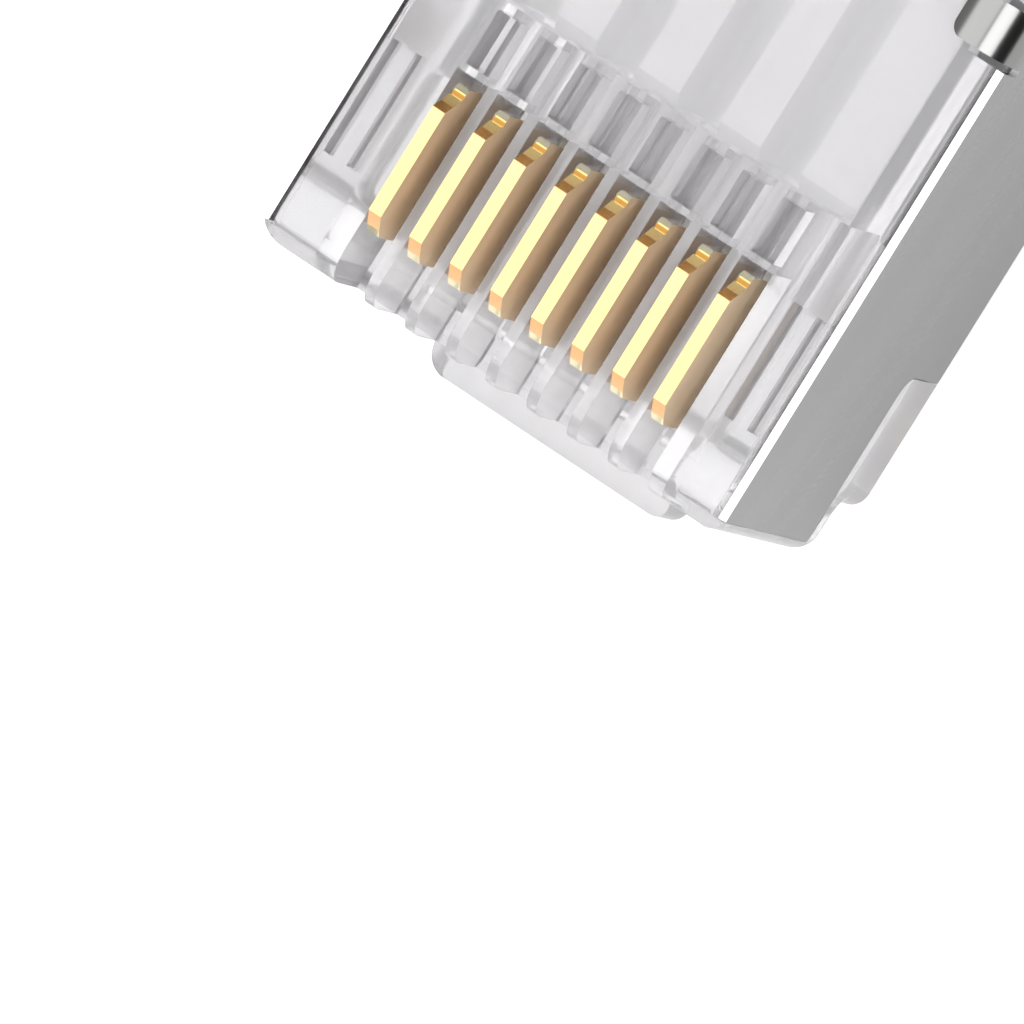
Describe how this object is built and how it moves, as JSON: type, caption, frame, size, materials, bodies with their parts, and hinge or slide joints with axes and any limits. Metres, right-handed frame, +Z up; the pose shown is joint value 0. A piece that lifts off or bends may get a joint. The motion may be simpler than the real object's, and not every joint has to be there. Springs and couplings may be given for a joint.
{
  "type": "modular plug",
  "caption": "Shielded modular plug for twisted-pair data cable: clear moulding with sprung latch, gold blade contacts, wire guide and folded metal shield, before crimping.",
  "frame": {"origin": "on the table under the middle of the plug as it lies on its rails and its latch, contacts up", "axes": "+X to the right of the contact row seen from above with the cable end away, +Y towards the cable end, +Z up"},
  "size_m": [0.0116, 0.0218, 0.0128],
  "materials": {
    "clear_polycarbonate": "clear moulded polycarbonate, slightly milky",
    "guide_polycarbonate": "translucent moulded polycarbonate",
    "nickel_plated_sheet": "nickel plated brass sheet, satin",
    "gold_plated_contact": "gold plated phosphor bronze, bright"
  },
  "bodies": {
    "plug": {"housing": "clear_polycarbonate", "shield": "nickel_plated_sheet", "load_bar": "guide_polycarbonate", "contact_1": "gold_plated_contact", "contact_2": "gold_plated_contact", "contact_3": "gold_plated_contact", "contact_4": "gold_plated_contact", "contact_5": "gold_plated_contact", "contact_6": "gold_plated_contact", "contact_7": "gold_plated_contact", "contact_8": "gold_plated_contact"},
    "latch": {"latch": "clear_polycarbonate"}
  },
  "joints": [
    {"name": "latch_flex", "type": "hinge", "parent": "plug", "child": "latch", "pos_m": [0, -0.00839, 0.00102], "axis": [1, 0, 0], "range_deg": [0, 14], "stiffness_Nm_per_rad": 0.1}
  ]
}
